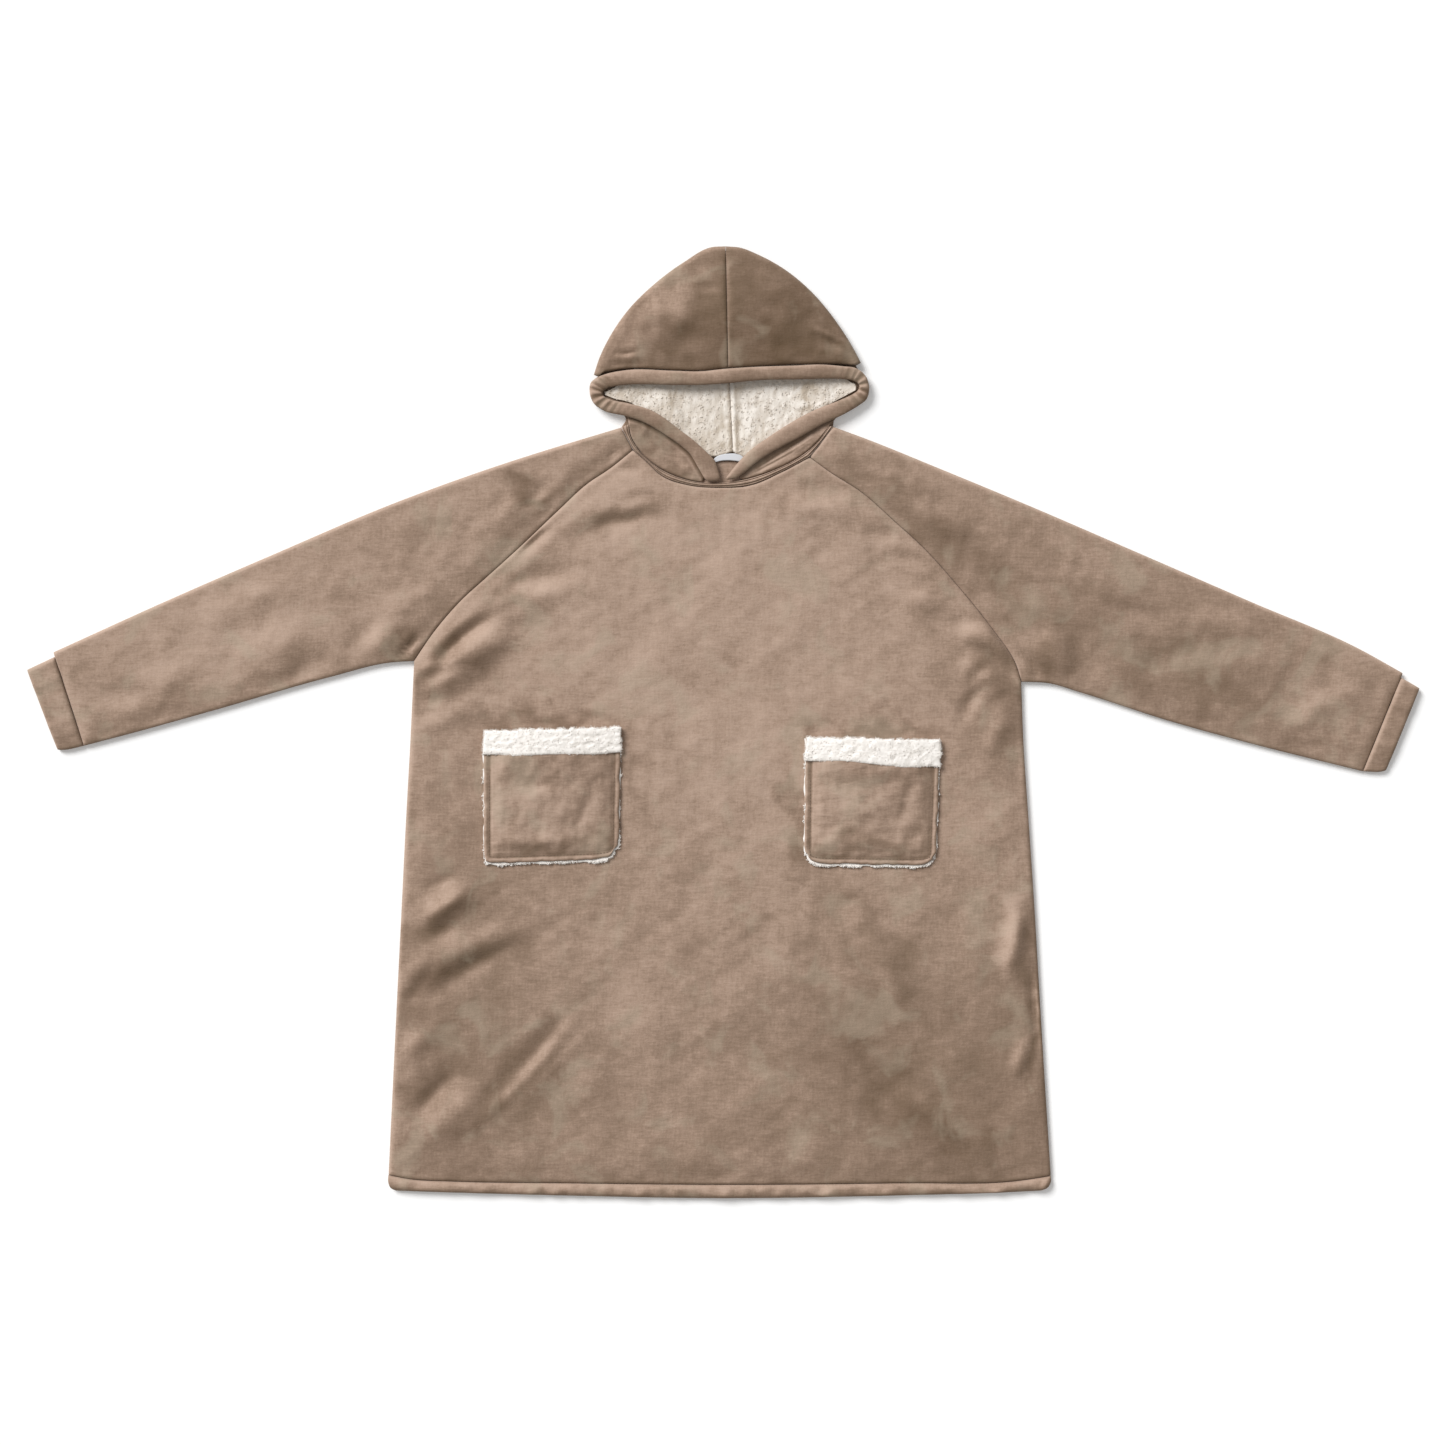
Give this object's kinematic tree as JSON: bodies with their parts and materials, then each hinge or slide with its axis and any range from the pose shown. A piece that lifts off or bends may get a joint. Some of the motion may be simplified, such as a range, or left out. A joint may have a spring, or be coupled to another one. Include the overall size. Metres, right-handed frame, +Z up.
{
  "type": "wearable blanket hoodie",
  "caption": "Oversized hooded wearable blanket laid flat, with raglan sleeves, patch pockets and a sherpa-lined hood.",
  "frame": {"origin": "centre of the bounding box in X and Y, on the ground that the back of the garment rests on", "axes": "+X across the garment from the left cuff to the right cuff as pictured, +Y from the hem to the hood, +Z up out of the front"},
  "size_m": [1.742, 1.1911, 0.0266],
  "materials": {
    "fleece": "taupe plush fleece with a short dense nap and a soft sheen",
    "fleece_hood": "the same plush fleece with its nap lying the darker way",
    "sherpa": "off-white curly sherpa pile, matt",
    "label": "plain white woven satin"
  },
  "bodies": {
    "root": {"back_panel": "fleece", "front_panel": "fleece", "sleeve_left": "fleece", "sleeve_right": "fleece", "cuff_left": "fleece", "cuff_right": "fleece", "hem_band": "fleece", "hood_left": "fleece_hood", "hood_right": "fleece_hood", "hood_front_left": "fleece_hood", "hood_front_right": "fleece_hood", "hood_rim": "fleece_hood", "hood_lining_left": "sherpa", "hood_lining_right": "sherpa", "neck_band": "fleece", "pocket_left": "fleece", "pocket_right": "fleece", "pocket_backing_left": "sherpa", "pocket_backing_right": "sherpa", "pocket_trim_left": "sherpa", "pocket_trim_right": "sherpa", "neck_label": "label"}
  },
  "joints": []
}
